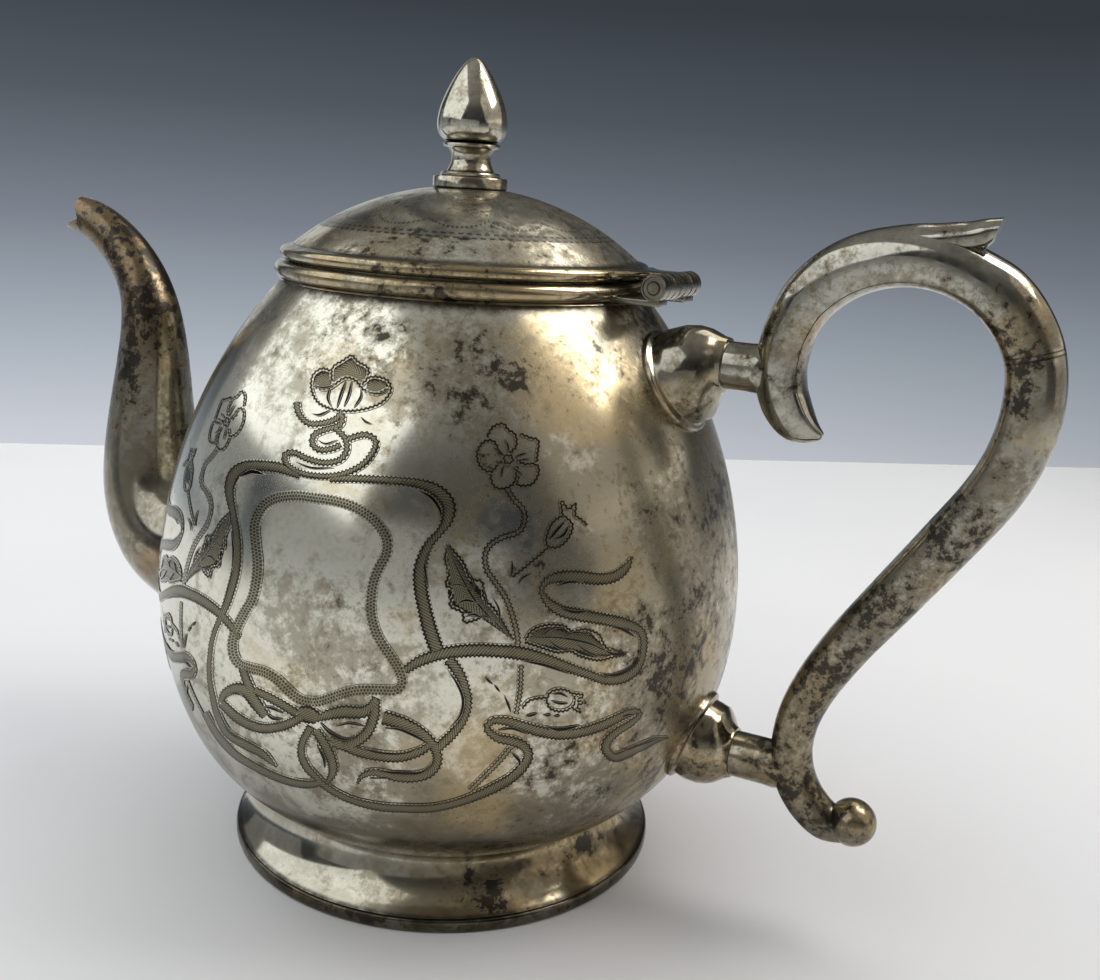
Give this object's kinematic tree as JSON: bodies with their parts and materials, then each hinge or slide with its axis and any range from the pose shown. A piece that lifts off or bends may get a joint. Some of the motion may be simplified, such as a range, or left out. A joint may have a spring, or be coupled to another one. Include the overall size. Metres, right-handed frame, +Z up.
{
  "type": "teapot",
  "caption": "Egg-shaped silver teapot on a flared foot, with a swan-neck spout, a scroll handle in two castings and a hinged domed lid with a bud finial, for brewing and pouring tea.",
  "frame": {"origin": "centre of the foot's base, on the plane the pot stands on", "axes": "+Z up, +X from the pot's axis towards the handle (the spout points to -X), +Y to the left of someone looking along +X; the pictured side is -Y"},
  "size_m": [0.2557, 0.1374, 0.185],
  "materials": {
    "silver_sheet": "polished silver sheet, lightly tarnished, engraved on the body and lid",
    "silver_wire": "drawn silver wire, polished, darker in its grooves",
    "silver_cast": "cast silver, polished, with fine pits and brown tarnish",
    "silver_hinge": "polished silver hinge leaves",
    "steel_pin": "drawn pin, ends filed flush",
    "brass_fixing": "plain turned brass"
  },
  "bodies": {
    "pot": {"body_shell": "silver_sheet", "foot_ring": "silver_sheet", "foot_edge_wire": "silver_wire", "mouth_rim_wire": "silver_wire", "spout": "silver_sheet", "spout_strainer": "silver_sheet", "upper_socket": "silver_cast", "lower_socket": "silver_cast", "handle_upper_scroll": "silver_cast", "handle_lower_scroll": "silver_cast", "hinge_body_leaf": "silver_hinge", "hinge_pin": "steel_pin"},
    "lid": {"lid_dome": "silver_sheet", "lid_rim_wire": "silver_wire", "lid_bezel": "silver_sheet", "hinge_lid_leaf": "silver_hinge", "finial_base": "silver_cast", "finial_stem": "silver_cast", "finial_bud": "silver_cast", "finial_screw": "brass_fixing", "finial_washer": "brass_fixing", "finial_nut": "brass_fixing"}
  },
  "joints": [
    {"name": "lid_hinge", "type": "hinge", "parent": "pot", "child": "lid", "pos_m": [0.0504, 0, 0.1393], "axis": [0, 1, 0], "range_deg": [0, 105]}
  ]
}
